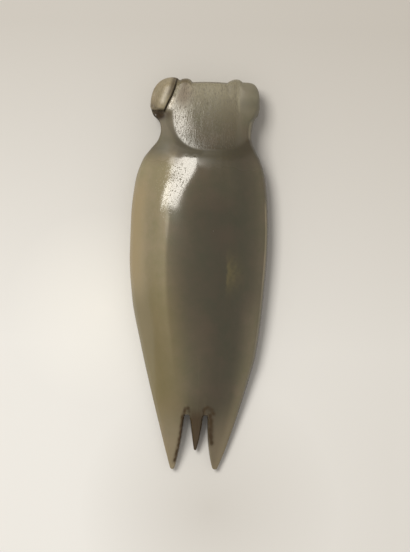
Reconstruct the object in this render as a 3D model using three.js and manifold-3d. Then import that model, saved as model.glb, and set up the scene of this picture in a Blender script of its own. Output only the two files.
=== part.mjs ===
// A cicada carved from one pebble of jade, lying on its belly. Millimetres, +Z up, head towards +Y.
// The origin is the middle of the footprint, on the surface that the belly rests on.
//
// The form is a pillow of two height fields, the back above and the belly below, that close on each
// other along the outline. The eyes are joined to it, and the carver's cuts are taken out of it.
// Places along the body are shares of LENGTH from the front of the head to the wing tips, places
// across it are shares of half the WIDTH, right of the middle positive, and heights are shares of
// THICKNESS.
import * as THREE from "three";
import { ParametricGeometry } from "three/addons/geometries/ParametricGeometry.js";
import { mergeVertices } from "three/addons/utils/BufferGeometryUtils.js";
import Module from "manifold-3d";

// Driving dimensions
const LENGTH = 63; // front of the left eye to the wing tips
const WIDTH = 22.1; // across the folded wings
const THICKNESS = 9; // flat of the belly to the top of the back

// The carver's cuts, in millimetres
const COLLAR_DEPTH = 0.4; // step from the head shield down to the wings' collar
const COLLAR_WIDTH = 2; // how far the collar runs out over the shoulders
const CRACK_WIDTH = 0.4; // of the crack beside the left eye, at the surface
const CRACK_DEPTH = 0.9;
const CRACK_END_WIDTH = 1.2; // of the broken place behind the eye, where the crack ends
const CRACK_WIDENS = [0.6, 0.85]; // shares of the crack's run, between which it widens to that
const CRACK_CUTTER = { shoulder: 0.6, top: 2 }; // heights over the surface, where it is widest and ends
const PILLOW_END = 1.02; // share along, where the uncut pillow ends
const SLOT_ROOT_LEFT = 0.43; // radii of the rounded roots of the slots in the tail
const SLOT_ROOT_RIGHT = 0.35;
const TIP_LEFT = 0.4; // radii of the ends of the left wing, the abdomen and the right wing
const TIP_ABDOMEN = 0.22;
const TIP_RIGHT = 0.5;
const WING_STEP = 0.5; // how far the abdomen stands proud of the wings' undersides
const ABDOMEN_STEP_RUN = 2.4; // how far that step runs out under each wing
const BELLY_CUT_WIDTH = 0.8; // wheel cuts on the belly
const BELLY_CUT_DEPTH = 0.35;
const BELLY_RINGS = 6;
const NOSE_ROUND = 0.7; // how far the front of the head rounds over
const EYE_ROUND = 1.6; // the same in front of the eyes
const EYE_FROM = [0.5, 0.7]; // shares of half width, between which the one turns into the other
const CUTTER_BACK = 0.1; // how far a step's cutter reaches behind its edge
const CUTTER_LIFT = 1; // how far a cutter stands out of the surface
const CUTTER_RUN_OUT = 0.15; // how far a step's cutter has risen out of the surface at its far side

// Mesh fineness
const COLUMNS = 60; // round a cross-section, back and belly together
const ROWS = 58;
const BEAD_SIDES = 16;
const BEAD_RINGS = 10;
const SMOOTH = 14; // stations along a swept cut
const ARC_STEPS = 7; // in each arc of the tail
const WELD = 1e-4; // points of a geometry nearer than this are one
const ROW_SHARES = [ // of the rows, and of the way from head to tail: rows lie closer at the head
  [0, 0], [0.03, 0.0015], [0.07, 0.008], [0.12, 0.022], [0.48, 0.22], [0.97, 0.99], [1, 1],
];

// Left and right edges seen from above: [share along, share of half width]
const LEFT_EDGE = [
  [0.078, 0.768], [0.1, 0.718], [0.113, 0.63], [0.137, 0.603], [0.16, 0.635], [0.185, 0.742],
  [0.213, 0.853], [0.27, 0.953], [0.36, 0.998], [0.45, 1], [0.56, 0.948], [0.68, 0.802],
  [0.93, 0.425], [1, 0.31],
];
const RIGHT_EDGE = [
  [0.078, 0.816], [0.092, 0.795], [0.104, 0.752], [0.118, 0.722], [0.148, 0.708], [0.166, 0.731],
  [0.184, 0.778], [0.204, 0.84], [0.254, 0.933], [0.32, 0.978], [0.407, 1], [0.55, 0.965],
  [0.7, 0.878], [0.76, 0.795], [0.94, 0.49], [1, 0.36],
];

// The front of the head: eyes at the two corners, and a nearly straight brow between them
const LEFT_CORNER = { x: -0.37, y: 0.078, reach: 0.0755, power: 2.35 };
const RIGHT_CORNER = { x: 0.5, y: 0.072, reach: 0.0625, power: 3 };
const BROW = { x: 0.09, y: 0.0098, sag: 0.012 }; // sag in millimetres, for each square millimetre across
const BUMPS = [ // on the front edge, beside the eyes: place, then half length, half width, half height
  { x: -0.295, y: 0.031, long: 0.029, wide: 0.13, high: 0.18, tilt: 0, z: 0.42 },
  { x: 0.42, y: 0.031, long: 0.029, wide: 0.135, high: 0.18, tilt: 0, z: 0.42 },
];
const EYES = [ // oblong beads, tilted so that their front ends lean together
  { x: -0.582, y: 0.047, long: 0.048, wide: 0.16, high: 0.2, tilt: 19, z: 0.44 },
  { x: 0.6, y: 0.055, long: 0.047, wide: 0.185, high: 0.155, tilt: -9, z: 0.44 },
];
const CRACK = [[-0.39, -0.004], [-0.455, 0.038], [-0.555, 0.088], [-0.64, 0.099], [-0.8, 0.088]];

// The head shield is half a superellipse, and the collar runs along its edge
const SHIELD = {
  x: 0.075, y: 0.086, reach: 0.102, left: { half: 0.53, power: 2.5 }, right: { half: 0.66, power: 3.2 },
};
const COLLAR_TURN = [0.03, 0.9]; // from the right of the shield round to its left, in half turns
const COLLAR_ENDS = 0.35; // the collar's width at its ends, as a share of COLLAR_WIDTH
const COLLAR_RUN_IN = 0.4; // power by which its depth grows from the ends, and less is faster
const HEAD_ROOF = { // power curves from SHIELD.x down to the sides, straight from a share of their run on
  drop: 0.078, at: 0.53, left: { power: 4, straight: 0.76 }, right: { power: 2.5, straight: 2 },
};
const SHOULDER = [0.15, 0.23]; // shares along, between which the head's roof turns into the wings
const THROAT = [0.14, 0.22]; // the same below
const THROAT_HOLLOW = 0.25; // how far the throat rises towards the rim at its sides

// Heights along the middle: [share along, share of thickness]
const RIM = [
  [0, 0.41], [0.07, 0.43], [0.15, 0.43], [0.21, 0.4], [0.34, 0.367], [0.5, 0.344], [0.66, 0.3],
  [0.82, 0.215], [1, 0.12],
];
const BACK = [
  [0, 0.55], [0.06, 0.665], [0.12, 0.753], [0.175, 0.828], [0.26, 0.934], [0.32, 0.988], [0.375, 1],
  [0.44, 1], [0.51, 0.985], [0.58, 0.95], [0.66, 0.875], [0.738, 0.74], [0.817, 0.55], [0.85, 0.475],
  [0.945, 0.31], [1, 0.23],
];
const BELLY = [
  [0, 0.19], [0.055, 0.135], [0.12, 0.1], [0.18, 0.05], [0.24, 0.004], [0.243, 0], [0.64, 0],
  [0.643, 0.0015], [0.73, 0.03], [0.82, 0.052], [0.91, 0.066], [1, 0.072],
];

// The back in cross-section: a crown between two creases, a narrow facet outside the left one, and a
// bevel on each side down to the rim
const CROWN = [
  [0.2, 0.56], [0.26, 0.56], [0.36, 0.45], [0.46, 0.38], [0.58, 0.3], [0.74, 0.4], [0.9, 0.6],
];
const CREASE_LEFT = 0.465; // share of half width
const CREASE_RIGHT = 0.4;
const FACET_OUTER = 0.59; // where the facet ends
const FACET_SLOPE = 0.56;
const CREASE_SOFTNESS = [[0.2, 0.1], [0.34, 0.05], [0.5, 0.05], [0.62, 0.15], [0.75, 0.3], [1, 0.4]];
const BEVEL_POWER = 1.25; // 1 is a straight bevel, and more is fuller
const RIM_LIP = 0.1; // share of the back's rise that is left as an upright rim
const BLUNTNESS = [8, 40]; // powers that round the sides over, of the head and of the wings
const BLUNTNESS_AT = [0.12, 0.25];

// The fork of the tail: ends of the wings and the abdomen, roots of the slots, and the points that
// bend the slots' sides
const FORK = {
  leftTip: { x: -0.283, y: 1, radius: TIP_LEFT, end: true },
  leftSide: { x: -0.15, y: 0.936 },
  leftRoot: { x: -0.092, y: 0.86, radius: SLOT_ROOT_LEFT, end: false },
  abdomenLeft: { x: -0.012, y: 0.915 },
  abdomenTip: { x: 0.041, y: 0.95, radius: TIP_ABDOMEN, end: true },
  abdomenRight: { x: 0.125, y: 0.913 },
  rightRoot: { x: 0.172, y: 0.86, radius: SLOT_ROOT_RIGHT, end: false },
  rightSide: { x: 0.205, y: 0.942 },
  rightTip: { x: 0.338, y: 0.998, radius: TIP_RIGHT, end: true },
};
const TIP_START = 0.94; // share along, where the wings' outer edges begin to be trimmed to their tips
const PRONG_DROP = [[0.8, 0], [0.86, 0.04], [0.95, 0.13]]; // how far the abdomen's end dips
const PRONG_HALF = 0.1; // share of half width
const PRONG_EDGE = [0.9, 1.5]; // where that dip fades out, in widths of PRONG_HALF

// The belly: half width of the abdomen, its middle line, and its wheel cuts from end to end. The flat
// that it rests on has straight sides and sharp ends, so that it stands firmly.
const ABDOMEN = [
  [0.2, 0.4156], [0.64, 0.29], [0.66, 0.2843], [0.78, 0.21], [0.86, 0.125], [1, 0.08],
];
const ABDOMEN_MIDDLE = [[0.64, 0], [0.86, 0.045], [1, 0.045]];
const FLAT_MARGIN = 0.1; // how far past the abdomen's sides the wings' undersides begin to rise
const ABDOMEN_FRONT = 0.2; // shares along, between which the abdomen stands proud
const ABDOMEN_BACK = 0.88;
const ABDOMEN_STEP_END = 0.1; // share of the full step that is left at both its ends
const ABDOMEN_SWELL = 8; // how fast the step grows from its ends, and more is faster
const RING_FIRST = 0.67;
const RING_LAST = 0.8;
const THROAT_CUTS = [[[-0.62, 0.15], [0.1, 0.215]], [[0.68, 0.15], [-0.04, 0.215]]];

const HALF = WIDTH / 2;
const clamp = THREE.MathUtils.clamp;
const mix = THREE.MathUtils.lerp;
const step = (a, b, v) => THREE.MathUtils.smoothstep(v, a, b);

// The lesser of a and b, rounded over where they are within k of each other.
function softMin(a, b, k) {
  const h = clamp(0.5 + (0.5 * (b - a)) / k, 0, 1);
  return mix(b, a, h) - k * h * (1 - h);
}

// A smooth curve through [place, value] points that never overshoots them (Fritsch and Carlson's
// monotone cubic), level beyond its ends.
function through(points) {
  const slope = points.slice(1).map(([x, y], i) => (y - points[i][1]) / (x - points[i][0]));
  const tangent = points.map((_, i) => {
    const before = slope[i - 1] ?? slope[i];
    const after = slope[i] ?? slope[i - 1];
    return before * after <= 0 ? 0 : (2 * before * after) / (before + after);
  });
  return (x) => {
    if (x <= points[0][0]) return points[0][1];
    if (x >= points.at(-1)[0]) return points.at(-1)[1];
    const i = points.findIndex(([end]) => end > x) - 1;
    const span = points[i + 1][0] - points[i][0];
    const t = (x - points[i][0]) / span;
    return (
      points[i][1] * (1 + 2 * t) * (1 - t) ** 2 +
      points[i + 1][1] * t * t * (3 - 2 * t) +
      span * t * (1 - t) * (tangent[i] * (1 - t) - tangent[i + 1] * t)
    );
  };
}

const edgeLeft = through(LEFT_EDGE);
const edgeRight = through(RIGHT_EDGE);
const rimShare = through(RIM);
const backShare = through(BACK);
const bellyShare = through(BELLY);
const crownShare = through(CROWN);
const creaseSoftness = through(CREASE_SOFTNESS);
const prongDrop = through(PRONG_DROP);
const rowShare = through(ROW_SHARES);
const abdomenHalf = through(ABDOMEN);
const abdomenMiddle = through(ABDOMEN_MIDDLE);

// Millimetres of a place given in shares, and back
const acrossOf = (share) => share * HALF;
const alongOf = (share) => LENGTH * (0.5 - share);
const heightOf = (share) => share * THICKNESS;
const shareAlong = (y) => 0.5 - y / LENGTH;

// The middle and half the width of the outline, in millimetres, at a share along the body.
function outlineAt(a) {
  const left = -acrossOf(edgeLeft(a));
  const right = acrossOf(edgeRight(a));
  return { middle: (left + right) / 2, half: (right - left) / 2 };
}

// A rounded front corner: a quarter of a superellipse that meets the side edge square on.
function corner({ x: inner, y, reach, power }, x) {
  const outer = inner < 0 ? -edgeLeft(y) : edgeRight(y);
  const q = Math.min(1, Math.max(0, (x - acrossOf(inner)) / acrossOf(outer - inner)));
  return alongOf(y) + LENGTH * reach * (1 - q ** power) ** (1 / power);
}

// The front edge of the head at x. A corner falls away slightly towards the brow.
function frontEdge(x) {
  const brow = alongOf(BROW.y) - BROW.sag * (x - acrossOf(BROW.x)) ** 2;
  if (x < acrossOf(LEFT_CORNER.x)) return corner(LEFT_CORNER, x);
  if (x > acrossOf(RIGHT_CORNER.x)) return corner(RIGHT_CORNER, x);
  return brow;
}

// A bevel that falls from a height at the crease to the lip at the rim. Inside the crease it goes on
// rising, so that softMin can join it to what lies there.
function bevel(s, crease, height) {
  const t = (Math.abs(s) - crease) / (1 - crease);
  return height - (height - RIM_LIP) * (t > 0 ? t ** BEVEL_POWER : t);
}

// The wings' cross-section: 0 at the rim and 1 at the top of the back.
function wingShare(s, a) {
  const crown = 1 - crownShare(a) * s * s;
  const softness = creaseSoftness(a);
  if (s > 0) {
    return softMin(crown, bevel(s, CREASE_RIGHT, 1 - crownShare(a) * CREASE_RIGHT ** 2), softness);
  }
  const inner = 1 - crownShare(a) * CREASE_LEFT ** 2;
  const outer = inner - FACET_SLOPE * (FACET_OUTER - CREASE_LEFT);
  const facet = inner - FACET_SLOPE * (-s - CREASE_LEFT);
  return softMin(crown, softMin(facet, bevel(s, FACET_OUTER, outer), softness), softness);
}

// How far the head's roof has dropped at x, a share of the thickness.
function roofDrop(x) {
  const { power, straight } = x < acrossOf(SHIELD.x) ? HEAD_ROOF.left : HEAD_ROOF.right;
  const run = Math.abs(x - acrossOf(SHIELD.x)) / acrossOf(HEAD_ROOF.at);
  const curved = Math.min(run, straight) ** power;
  return HEAD_ROOF.drop * (curved + power * straight ** (power - 1) * Math.max(0, run - straight));
}

// The height of the back, before it closes on the rim, at x, y and a share s across.
function backHeight(s, x, y) {
  const a = shareAlong(y);
  const rim = heightOf(rimShare(a));
  const top = heightOf(backShare(a));
  const wings = rim + (top - rim) * wingShare(s, a);
  const roof = Math.max(top - heightOf(roofDrop(x)), rim + heightOf(RIM_LIP));
  const prong = 1 - step(...PRONG_EDGE, Math.abs(x - acrossOf(abdomenMiddle(a))) / acrossOf(PRONG_HALF));
  return mix(roof, wings, step(...SHOULDER, a)) - heightOf(prongDrop(a)) * prong;
}

// The height of the belly, before it closes on the rim: flat under the abdomen, rising to the wings'
// edges, and hollowed a little at the throat.
function bellyHeight(s, x, y) {
  const a = shareAlong(y);
  const rim = heightOf(rimShare(a));
  const belly = heightOf(bellyShare(a));
  const inner = abdomenHalf(a) + FLAT_MARGIN;
  const out = clamp((Math.abs(s) - inner) / (1 - inner), 0, 1);
  const wing = mix(belly, rim - (rim - belly) * RIM_LIP, out);
  const throat = belly + (rim - belly) * THROAT_HOLLOW * s * s;
  return mix(throat, wing, step(...THROAT, a));
}

// The height of the closed surface at a place: it rounds over to the rim along the whole outline.
function surfaceHeight(x, y, above) {
  const a = shareAlong(y);
  const { middle, half } = outlineAt(a);
  const s = clamp((x - middle) / half, -1, 1);
  const head = outlineAt(0);
  const front = frontEdge(head.middle + s * head.half);
  const bluntness = mix(...BLUNTNESS, step(...BLUNTNESS_AT, a));
  const sideways = Math.sqrt(1 - Math.abs(s) ** bluntness);
  const reach = mix(NOSE_ROUND, EYE_ROUND, step(...EYE_FROM, Math.abs(s)));
  const fromFront = clamp((front - y) / reach, 0, 1);
  const fromTail = clamp((y - alongOf(PILLOW_END)) / (alongOf(1) - alongOf(PILLOW_END)), 0, 1);
  const close = sideways * Math.sqrt(1 - (1 - fromFront) ** 2) * Math.sqrt(1 - (1 - fromTail) ** 2);
  const rim = heightOf(rimShare(a));
  const full = above ? backHeight(s, x, y) : bellyHeight(s, x, y);
  return rim + (full - rim) * close;
}

// A point of the pillow: u runs once round the section, and v from the head to the tail.
function pillowPoint(u, v, target) {
  const angle = 2 * Math.PI * u;
  const s = Math.cos(angle);
  const head = outlineAt(0);
  const y = mix(frontEdge(head.middle + s * head.half), alongOf(PILLOW_END), rowShare(v));
  const { middle, half } = outlineAt(shareAlong(y));
  const x = middle + s * half;
  target.set(x, y, surfaceHeight(x, y, Math.sin(angle) >= 0));
}

const wasm = await Module();
wasm.setup();

// A closed three.js geometry as a solid that can be joined and cut, and back.
function solidOf(geometry) {
  const bare = new THREE.BufferGeometry().setAttribute("position", geometry.getAttribute("position"));
  if (geometry.index) bare.setIndex(geometry.index);
  const merged = mergeVertices(bare, WELD);
  return new wasm.Manifold(
    new wasm.Mesh({
      numProp: 3,
      vertProperties: merged.attributes.position.array,
      triVerts: new Uint32Array(merged.index.array),
    }),
  );
}

function geometryOf(solid) {
  const mesh = solid.getMesh();
  const geometry = new THREE.BufferGeometry()
    .setAttribute("position", new THREE.BufferAttribute(mesh.vertProperties, 3))
    .setIndex(new THREE.BufferAttribute(mesh.triVerts, 1));
  geometry.computeVertexNormals();
  return geometry;
}

// An oblong bead, lying level.
function bead({ x, y, z, long, wide, high, tilt }) {
  const geometry = new THREE.SphereGeometry(1, BEAD_SIDES, BEAD_RINGS);
  geometry.scale(acrossOf(wide), heightOf(high), LENGTH * long);
  geometry.rotateX(Math.PI / 2);
  geometry.rotateZ(THREE.MathUtils.degToRad(-tilt));
  return solidOf(geometry.translate(acrossOf(x), alongOf(y), heightOf(z)));
}

// A plan curve whose point at t, from 0 to 1, is given by a function.
const curveOf = (getPoint) => Object.assign(new THREE.Curve(), { getPoint });

// A cutter swept along a plan curve over the back, or under the belly. section(t) lists the corners of
// its section: [how far to the left of the curve, how high over the surface there].
function sweep(curve, above, section) {
  const rings = [];
  for (let i = 0; i <= SMOOTH; i++) {
    const place = curve.getPoint(i / SMOOTH);
    const tangent = curve.getTangent(i / SMOOTH);
    const ring = section(i / SMOOTH).map(([out, over]) => {
      const x = place.x - tangent.y * out;
      const y = place.y + tangent.x * out;
      return new THREE.Vector3(x, y, surfaceHeight(x, y, above) + (above ? over : -over));
    });
    rings.push(above ? ring : ring.reverse());
  }
  const n = rings[0].length;
  const last = (rings.length - 1) * n;
  const index = [];
  for (let a = 0; a < last; a++) {
    const b = (a + 1) % n ? a + 1 : a + 1 - n;
    index.push(a, b, a + n, b, b + n, a + n);
  }
  for (let j = 1; j < n - 1; j++) {
    index.push(0, j + 1, j, last, last + j, last + j + 1);
  }
  return solidOf(new THREE.BufferGeometry().setFromPoints(rings.flat()).setIndex(index));
}

// A step down along a line: upright on its left side, and running out to nothing on its right.
function stepSection(deep, wide) {
  return [[0, CUTTER_LIFT], [-wide, CUTTER_LIFT], [-wide, CUTTER_RUN_OUT], [CUTTER_BACK, -deep]];
}

// The collar follows the shield's edge from the left eye round behind the head to the right of the neck.
function collarCut() {
  const edge = curveOf((t) => {
    const angle = mix(...COLLAR_TURN, t) * Math.PI;
    const { half, power } = angle < Math.PI / 2 ? SHIELD.left : SHIELD.right;
    const across = -Math.sign(Math.cos(angle)) * Math.abs(Math.cos(angle)) ** (2 / power);
    const along = Math.sin(angle) ** (2 / power);
    const place = [SHIELD.x + across * half, SHIELD.y + along * SHIELD.reach];
    return new THREE.Vector2(acrossOf(place[0]), alongOf(place[1]));
  });
  return sweep(edge, true, (t) => {
    const swell = Math.sin(Math.PI * t);
    return stepSection(COLLAR_DEPTH * swell ** COLLAR_RUN_IN, COLLAR_WIDTH * mix(COLLAR_ENDS, 1, swell));
  });
}

// The crack beside the left eye. It starts at the front edge, follows the eye and turns out behind it.
function crackCut() {
  const curve = new THREE.SplineCurve(CRACK.map(([x, y]) => new THREE.Vector2(acrossOf(x), alongOf(y))));
  return sweep(curve, true, (t) => {
    const half = mix(CRACK_WIDTH, CRACK_END_WIDTH, step(...CRACK_WIDENS, t)) / 2;
    const { shoulder, top } = CRACK_CUTTER;
    return [[half, shoulder], [0, top], [-half, shoulder], [0, -CRACK_DEPTH]];
  });
}

// The steps from the abdomen up to the wings' undersides, one down each side.
function abdomenCut(side) {
  const edge = curveOf((t) => {
    const a = side < 0 ? mix(ABDOMEN_FRONT, ABDOMEN_BACK, t) : mix(ABDOMEN_BACK, ABDOMEN_FRONT, t);
    return new THREE.Vector2(acrossOf(abdomenMiddle(a) + side * abdomenHalf(a)), alongOf(a));
  });
  return sweep(edge, false, (t) => {
    const swell = Math.min(1, ABDOMEN_SWELL * t * (1 - t) + ABDOMEN_STEP_END);
    return stepSection(WING_STEP * swell, ABDOMEN_STEP_RUN);
  });
}

// Where a line from a point touches a circle, on the circle's left or right as seen from the point.
function touch(from, circle, onLeft) {
  const toCentre = new THREE.Vector2().subVectors(circle, from);
  const distance = toCentre.length();
  const turn = Math.asin(circle.radius / distance) * (onLeft ? 1 : -1);
  const reach = Math.sqrt(distance ** 2 - circle.radius ** 2);
  return toCentre.normalize().rotateAround(new THREE.Vector2(), turn).multiplyScalar(reach).add(from);
}

// Everything behind the tail. Its edge runs from the left wing's tip by way of the left slot, the end
// of the abdomen and the right slot to the right wing's tip: round ends and roots, joined by bent sides.
function tailCut() {
  const place = ({ x, y, radius, end }) => {
    const centre = new THREE.Vector2(acrossOf(x), alongOf(y) + (radius ?? 0) * (end ? 1 : -1));
    return Object.assign(centre, { radius, end });
  };
  const fork = Object.values(FORK).map(place);
  const outerEdge = (half) => new THREE.Vector2(half, alongOf(TIP_START));
  const points = [
    outerEdge(-acrossOf(edgeLeft(TIP_START))),
    ...fork,
    outerEdge(acrossOf(edgeRight(TIP_START))),
  ];
  const shape = new THREE.Shape();
  points.forEach((circle, i) => {
    if (!circle.radius) return;
    const arrive = touch(points[i - 1], circle, !circle.end);
    const leave = touch(points[i + 1], circle, circle.end);
    const angleOf = (p) => Math.atan2(p.y - circle.y, p.x - circle.x);
    if (i === 1) shape.moveTo(-WIDTH, arrive.y).lineTo(arrive.x, arrive.y);
    else shape.quadraticCurveTo(points[i - 1].x, points[i - 1].y, arrive.x, arrive.y);
    shape.absarc(circle.x, circle.y, circle.radius, angleOf(arrive), angleOf(leave), !circle.end);
    if (i === points.length - 2) shape.lineTo(WIDTH, leave.y);
  });
  shape.lineTo(WIDTH, -LENGTH).lineTo(-WIDTH, -LENGTH);
  const options = { depth: 2 * THICKNESS, bevelEnabled: false, curveSegments: ARC_STEPS };
  return solidOf(new THREE.ExtrudeGeometry(shape, options).translate(0, 0, -THICKNESS / 2));
}

// A cut of the wheel across the belly: it runs out at both ends and is deepest at its middle.
function wheelCut(from, to, level) {
  const run = new THREE.Vector2().subVectors(to, from);
  const geometry = new THREE.OctahedronGeometry(1);
  geometry.scale(run.length() / 2, BELLY_CUT_WIDTH / 2, BELLY_CUT_DEPTH);
  geometry.rotateZ(run.angle());
  return solidOf(geometry.translate((from.x + to.x) / 2, (from.y + to.y) / 2, level));
}

function bellyCuts() {
  const cuts = [];
  for (let i = 0; i < BELLY_RINGS; i++) {
    const a = mix(RING_FIRST, RING_LAST, i / (BELLY_RINGS - 1));
    const middle = acrossOf(abdomenMiddle(a));
    const half = acrossOf(abdomenHalf(a));
    const end = (side) => new THREE.Vector2(middle + side * half, alongOf(a));
    cuts.push(wheelCut(end(-1), end(1), heightOf(bellyShare(a))));
  }
  for (const [from, to] of THROAT_CUTS) {
    const end = ([x, y]) => new THREE.Vector2(acrossOf(x), alongOf(y));
    cuts.push(wheelCut(end(from), end(to), heightOf(bellyShare((from[1] + to[1]) / 2))));
  }
  return cuts;
}

let whole = solidOf(new ParametricGeometry(pillowPoint, COLUMNS, ROWS));
for (const round of [...EYES, ...BUMPS]) whole = whole.add(bead(round));
const cuts = [collarCut(), crackCut(), abdomenCut(-1), abdomenCut(1), tailCut(), ...bellyCuts()];
for (const cut of cuts) whole = whole.subtract(cut);

const jade = new THREE.MeshStandardMaterial({ color: 0x8f8a72, roughness: 0.35, metalness: 0 });
const cicada = new THREE.Mesh(geometryOf(whole), jade);
cicada.name = "cicada";

const part = new THREE.Group();
part.add(cicada);
export default part;
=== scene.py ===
# %% [markdown]
# # A jade cicada
#
# The real one is a single pebble of nephrite, a tough grey-green jade, ground to the shape of a cicada
# at rest: a head with an eye at each corner, a shield behind it, folded wings and a forked tail. It was
# carved with sand and a wheel, so its forms are a few broad bevels with straight cuts between them, and
# then polished until it looked waxy.
#
# It could be sculpted by hand, or cut from a block with modifiers. The lesson works it out instead, as one
# closed mesh: the back and the belly are two sheets of one grid, and both are heights worked out from two
# parameters, how far across the body and how far along it. Each facet then stays as even as the wheel
# left it, and a number changes it.

# %% Load the frame
import math

import bpy
import numpy as np
from mathutils import Matrix, Vector


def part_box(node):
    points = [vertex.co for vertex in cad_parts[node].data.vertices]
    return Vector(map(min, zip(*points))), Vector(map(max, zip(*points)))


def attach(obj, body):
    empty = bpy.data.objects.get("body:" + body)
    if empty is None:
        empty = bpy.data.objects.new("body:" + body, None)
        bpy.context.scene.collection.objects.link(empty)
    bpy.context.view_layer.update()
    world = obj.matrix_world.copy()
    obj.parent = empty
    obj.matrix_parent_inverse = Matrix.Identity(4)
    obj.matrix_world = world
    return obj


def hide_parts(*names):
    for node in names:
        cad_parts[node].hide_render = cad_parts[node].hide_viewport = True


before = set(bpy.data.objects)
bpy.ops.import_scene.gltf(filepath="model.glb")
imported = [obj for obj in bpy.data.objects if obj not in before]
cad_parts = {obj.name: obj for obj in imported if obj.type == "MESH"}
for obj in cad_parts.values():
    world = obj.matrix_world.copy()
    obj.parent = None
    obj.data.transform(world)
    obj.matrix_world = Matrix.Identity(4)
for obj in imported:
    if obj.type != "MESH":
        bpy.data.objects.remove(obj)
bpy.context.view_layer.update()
low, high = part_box("cicada")
print("frame: cicada from", [round(v, 4) for v in low], "to", [round(v, 4) for v in high])

# %% [markdown]
# ## Sizes
#
# Everything is worked out in millimetres and turned into metres at the end. The length, the width and
# the thickness come from the frame. Places are then written as a carver thinks of them, as shares: of
# the length from the head, of half the width from the middle line, and of the thickness from the table.

# %% Lengths in millimetres, and shares of them
MM = 0.001
LENGTH = -2 * low.y / MM
HALF = (high.x - low.x) / 2 / MM
THICK = high.z / MM


def across(share):
    """Millimetres from the middle line: the share times half the width."""
    return share * HALF


def along(share):
    """y in millimetres: half the length, less the share of it that lies in front."""
    return LENGTH * (0.5 - share)


def share_along(y):
    """The share of the length from the head to y, the other way round from along."""
    return 0.5 - y / LENGTH


print(f"length {LENGTH:.1f} mm, half width {HALF:.2f} mm, thickness {THICK:.2f} mm")

# %% [markdown]
# ## Curves that don't wobble
#
# An outline read from an object is a short list of places. A spline through them would swing past them
# where they lie close together. A monotone cubic never does: between two places it stays between their
# values, so a flat stretch stays flat. `smooth_step` and `soft_min` are its small companions: one fades
# a form in, the other joins two forms over a rounded corner.

# %% Small tools for shapes
def through(points):
    """A curve through (place, value) pairs. On each span it is a cubic whose end slopes are the harmonic
    means of the chords on either side, or nothing where the chords disagree. Level beyond its ends."""
    place, value = np.array(points, float).T
    chord = np.diff(value) / np.diff(place)
    before, after = np.r_[chord[0], chord], np.r_[chord, chord[-1]]
    total = np.where(before * after > 0, before + after, 1)
    slope = np.where(before * after > 0, 2 * before * after / total, 0)

    def curve(at):
        at = np.clip(at, place[0], place[-1])
        i = np.clip(np.searchsorted(place, at, side="right") - 1, 0, len(chord) - 1)
        span = place[i + 1] - place[i]
        t = (at - place[i]) / span
        ends = value[i] * (1 + 2 * t) * (1 - t) ** 2 + value[i + 1] * t**2 * (3 - 2 * t)
        return ends + span * t * (1 - t) * (slope[i] * (1 - t) - slope[i + 1] * t)

    return curve


def smooth_step(start, end, v):
    """0 before start, 1 after end, and between them 3t² - 2t³."""
    t = np.clip((v - start) / (end - start), 0, 1)
    return t * t * (3 - 2 * t)


def soft_min(a, b, k):
    """The lesser of a and b, less a parabola where they are within k of each other."""
    t = np.clip(0.5 + 0.5 * (b - a) / k, 0, 1)
    return b + (a - b) * t - k * t * (1 - t)


def soft_max(a, b, k):
    """The greater of a and b, and the same parabola more: the soft minimum upside down."""
    return -soft_min(-a, -b, k)


def distance_to(line, x, y):
    """The distance from each place to a chain of points: to the nearest point of each of its straight
    pieces, and the least of those."""
    nearest = np.full(np.shape(x), np.inf)
    for start, end in zip(line[:-1], line[1:]):
        run = end - start
        t = np.clip(((x - start[0]) * run[0] + (y - start[1]) * run[1]) / (run @ run), 0, 1)
        nearest = np.minimum(nearest, np.hypot(x - start[0] - t * run[0], y - start[1] - t * run[1]))
    return nearest


def ripple(x, y, length, seed, waves=7):
    """A gentle random surface between about -1 and 1: the mean of sine waves in random directions, each
    about one length long."""
    rng = np.random.default_rng(seed)
    total = np.zeros(np.shape(x))
    for turn, phase, stretch in zip(rng.uniform(0, math.pi, waves), rng.uniform(0, 6.3, waves),
                                    rng.uniform(0.7, 1.4, waves)):
        run = (x * math.cos(turn) + y * math.sin(turn)) * 2 * math.pi / (length * stretch)
        total += np.sin(run + phase)
    return total / math.sqrt(waves)


# %% [markdown]
# ## The outline
#
# Seen from above the sides are two curves, one for each edge, because the carver's hand and a long wear
# have made them unlike. The front is the foremost of five simple arcs: an eye at each corner, a small
# bump beside each eye and the brow between them. A Bezier curve could be drawn round all of it, but a
# list of widths along the body goes straight into the formula for the surface.

# %% The two sides
LEFT_EDGE = through([
    (0.078, 0.768), (0.1, 0.718), (0.113, 0.63), (0.137, 0.603), (0.16, 0.635), (0.185, 0.742),
    (0.213, 0.853), (0.27, 0.953), (0.36, 0.998), (0.45, 1), (0.56, 0.948), (0.68, 0.802), (0.93, 0.425),
    (1, 0.31),
])
RIGHT_EDGE = through([
    (0.078, 0.816), (0.092, 0.795), (0.104, 0.752), (0.118, 0.722), (0.148, 0.708), (0.166, 0.731),
    (0.184, 0.778), (0.204, 0.84), (0.254, 0.933), (0.32, 0.978), (0.407, 1), (0.55, 0.965), (0.7, 0.878),
    (0.76, 0.795), (0.94, 0.49), (1, 0.36),
])


def middle_and_half(a):
    """The middle of the outline and half its width, in millimetres, at a share along."""
    left, right = -across(LEFT_EDGE(a)), across(RIGHT_EDGE(a))
    return (left + right) / 2, (right - left) / 2


for place, share in (("neck", 0.113), ("wings", 0.43)):
    print(f"sides: {2 * middle_and_half(share)[1]:.1f} mm across the {place}")

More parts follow.
